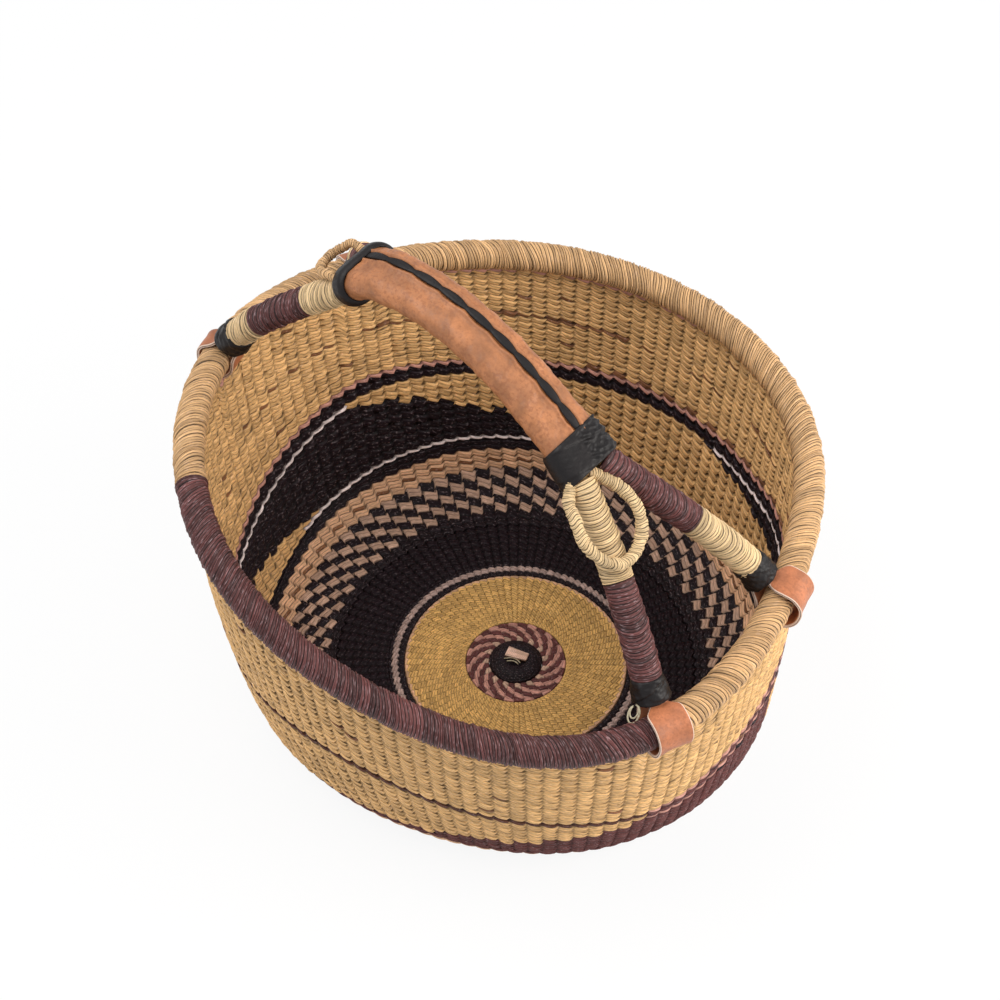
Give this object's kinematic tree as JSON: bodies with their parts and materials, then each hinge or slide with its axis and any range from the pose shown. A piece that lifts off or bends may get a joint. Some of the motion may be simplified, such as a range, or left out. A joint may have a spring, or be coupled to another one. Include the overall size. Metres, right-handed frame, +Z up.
{
  "type": "woven straw basket",
  "caption": "Round woven straw basket with a banded and checked inside, a straw-wrapped rim, and a leather-covered handle on wrapped legs that are strapped to the rim.",
  "frame": {"origin": "middle of the underside of the base, on the flat underside of the start knot", "axes": "+Z up out of the mouth, +X along the handle towards its front legs, +Y to the left"},
  "size_m": [0.4403, 0.4239, 0.3685],
  "materials": {
    "black_straw": "matte dyed straw",
    "pink_straw": "matte dyed straw",
    "tan_straw": "natural straw, slightly glossy",
    "cream_straw": "natural straw, slightly glossy",
    "purple_straw": "matte dyed straw",
    "mauve_straw": "matte dyed straw",
    "tan_leather": "soft undyed leather",
    "black_leather": "soft black leather",
    "grass": "raw grass bundle"
  },
  "bodies": {
    "basket": {"start_knot": "black_straw", "knot_chip": "cream_straw", "swirl_ring": "pink_straw", "gold_disc": "tan_straw", "line_ring": "mauve_straw", "black_band": "black_straw", "check_band": "mauve_straw", "side_wall": "tan_straw", "rim_core": "grass", "rim_wrap_tan": "tan_straw", "rim_wrap_purple": "purple_straw"},
    "handle": {"right_bundle": "grass", "left_bundle": "grass", "front_right_cream_wrap": "cream_straw", "front_right_purple_wrap": "purple_straw", "front_right_end_wrap": "black_leather", "front_right_strap": "tan_leather", "front_left_purple_wrap": "purple_straw", "front_left_cream_wrap": "cream_straw", "front_left_end_wrap": "black_leather", "front_left_strap": "tan_leather", "rear_right_cream_wrap": "cream_straw", "rear_right_purple_wrap": "purple_straw", "rear_right_low_cream_wrap": "cream_straw", "rear_right_end_wrap": "black_leather", "rear_right_strap": "tan_leather", "rear_left_purple_wrap": "purple_straw", "rear_left_cream_wrap": "cream_straw", "rear_left_end_wrap": "black_leather", "rear_left_strap": "tan_leather", "grip_leather": "tan_leather", "grip_lace": "black_leather", "front_collar": "black_leather", "rear_collar": "black_leather", "front_petal": "cream_straw", "rear_petal": "cream_straw"}
  },
  "joints": [
    {"name": "handle_rock", "type": "hinge", "parent": "basket", "child": "handle", "pos_m": [-0.01054, -0.01175, 0.20558], "axis": [0.9979, 0.01, -0.0646], "range_deg": [-4, 4], "deforming": ["front_right_strap", "front_left_strap", "rear_right_strap", "rear_left_strap"]}
  ]
}
